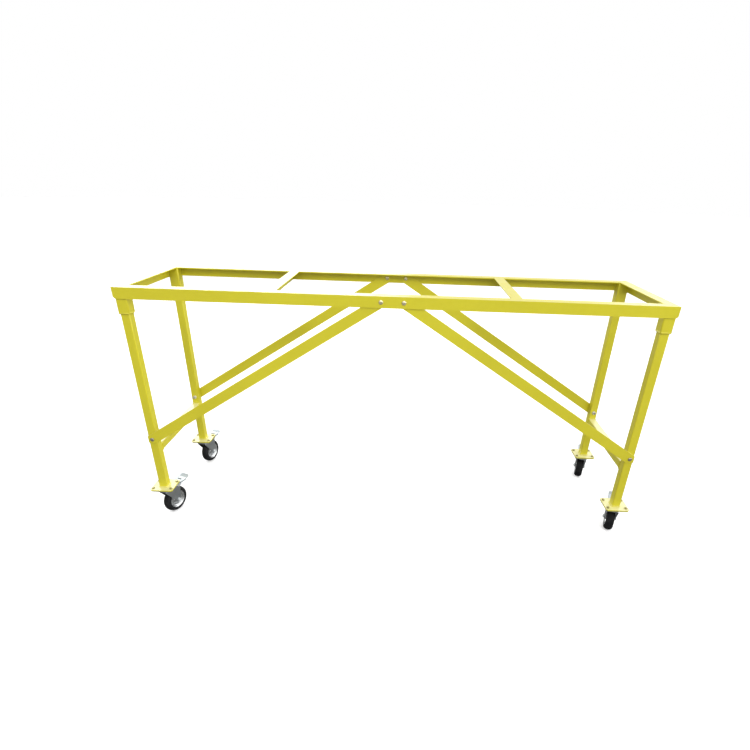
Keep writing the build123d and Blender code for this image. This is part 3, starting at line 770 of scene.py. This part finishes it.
def add_rim(corner, matrix, centre):
    """Two pressed discs with rolled lips and four rivets each, on a hub tube."""
    form = Form(matrix)
    face = [
        (11.0, 0.8), (15.5, 0.6), (18.5, -0.6), (20.8, -3.4), (23.5, -5.4), (28.0, -6.2),
        (33.0, -6.4), (35.2, -5.4), (36.4, -3.2), (38.2, -1.7), (41.5, -0.5), (44.0, 0.8),
        (45.2, 1.7),
    ]
    face = smooth_line([(r * MM, y * MM + LIP) for r, y in face], 3)
    sheet = 1.7 * MM
    back = [(r, y - sheet) for r, y in reversed(face)]
    lip = [(45.6 * MM, LIP + 1.5 * MM), (45.7 * MM, LIP + 0.7 * MM)]
    for side in (1, -1):
        form.turned(centre, (0, side, 0), face + lip + back, 96, closed=True)
    bore, hub, end = 5.1 * MM, 11 * MM, HUB_HALF
    edge = 0.8 * MM
    profile = [
        (bore, -end), (hub - edge, -end), (hub, edge - end),
        (hub, end - edge), (hub - edge, end), (bore, end),
    ]
    form.turned(centre, (0, 1, 0), profile, 64, closed=True)
    rivet = [(3.0 * MM, 0), (3.0 * MM, 0.8 * MM), (2.2 * MM, 1.6 * MM), (0.6 * MM, 1.9 * MM)]
    rivet_out, rivet_seat = 28.5 * MM, LIP - 6.3 * MM
    for side in (1, -1):
        for k in range(4):
            angle = math.radians(45 + 90 * k)
            spot = centre + Vector((math.cos(angle), 0, math.sin(angle))) * rivet_out
            form.turned(spot + Vector((0, side * rivet_seat, 0)), (0, side, 0), rivet, 20)
    piece = form.piece("rim_detail_" + corner, "wheel_" + corner, "rim_steel", sharp=40)
    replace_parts(piece, "rim_" + corner)


def add_axle(corner, matrix, centre):
    """Bolt through the fork, with a head on one side and a nut on the other."""
    form = Form(matrix)
    for side in (-1, 1):
        outside = centre + Vector((0, side * FORK_OUT, 0))
        nut(form, outside, (0, side, 0), M10_AF, AXLE_NUT_H)
    end = centre + Vector((0, FORK_OUT + AXLE_NUT_H, 0))
    thread_end(form, end, (0, 1, 0), AXLE_R, AXLE_OVER, AXLE_PITCH)
    start = centre - Vector((0, FORK_OUT, 0))
    form.turned(start, (0, 1, 0), [(AXLE_R, 0), (AXLE_R, 2 * FORK_OUT)], 32)
    piece = form.piece("axle_detail_" + corner, "swivel_" + corner, "bolt_steel", LIT_AXLE_LOOK)
    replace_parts(piece, "axle_" + corner)


def add_spring(corner, matrix):
    """Torsion spring of two coils about the pedal's tube, one on each side of its middle."""
    pin = pin_place(corner, matrix)
    coil_r, wire, turns, pitch = 8.5 * MM, 0.8 * MM, 4.5, 1.9 * MM
    inner_end = 6.5 * MM
    form = Form(matrix)
    for side in (-1, 1):
        path = []
        count = int(turns * 28)
        for i in range(count + 1):
            angle = 2 * math.pi * turns * i / count
            out = Vector((math.cos(angle), 0, math.sin(angle)))
            offset = side * (inner_end + pitch * turns * i / count)
            path.append((pin + out * coil_r + Vector((0, offset, 0)), out))
        form.swept(path, lambda distance, angle, point: wire, 10)
    form.piece("pedal_spring_" + corner, "pedal_" + corner, "bearing_steel")


def add_slot_shade(corner, matrix):
    """Black block that fills the pedal's slot, a little below its face: painted shade where the
    inside of the slot lies in shadow.
    """
    middle = pin_place(corner, matrix) + Vector((SLOT_SHADE_X, 0, SLOT_SHADE_Z))
    squareness = 0.35
    form = Form(matrix)
    rings = []
    for inset, height in ((0.6, 0.0), (0.0, 0.6), (0.0, 3.4), (0.5, 4.0)):
        ring = []
        for k in range(40):
            angle = 2 * math.pi * (k + 0.5) / 40
            across, along = math.cos(angle), math.sin(angle)
            x = math.copysign(abs(across) ** squareness, across) * (SLOT_SHADE_HALF_X - inset * MM)
            y = math.copysign(abs(along) ** squareness, along) * (SLOT_SHADE_HALF_Y - inset * MM)
            ring.append(middle + Vector((x, y, height * MM)))
        rings.append(ring)
    form.skin(rings, False)
    form.piece("pedal_slot_shade_" + corner, "pedal_" + corner, "black_rubber")


# ---------------------------------------------------------------- build

add_camera()
add_floor()
add_world()
add_lights()
dress_cad_nodes()
add_welds()
add_brace_fasteners()
add_caster_fasteners()
for corner_name in CORNERS:
    caster_matrix, wheel_centre = corner_matrix(corner_name)
    add_tyre(corner_name, caster_matrix, wheel_centre)
    add_rim(corner_name, caster_matrix, wheel_centre)
    add_axle(corner_name, caster_matrix, wheel_centre)
    add_spring(corner_name, caster_matrix)
    add_slot_shade(corner_name, caster_matrix)
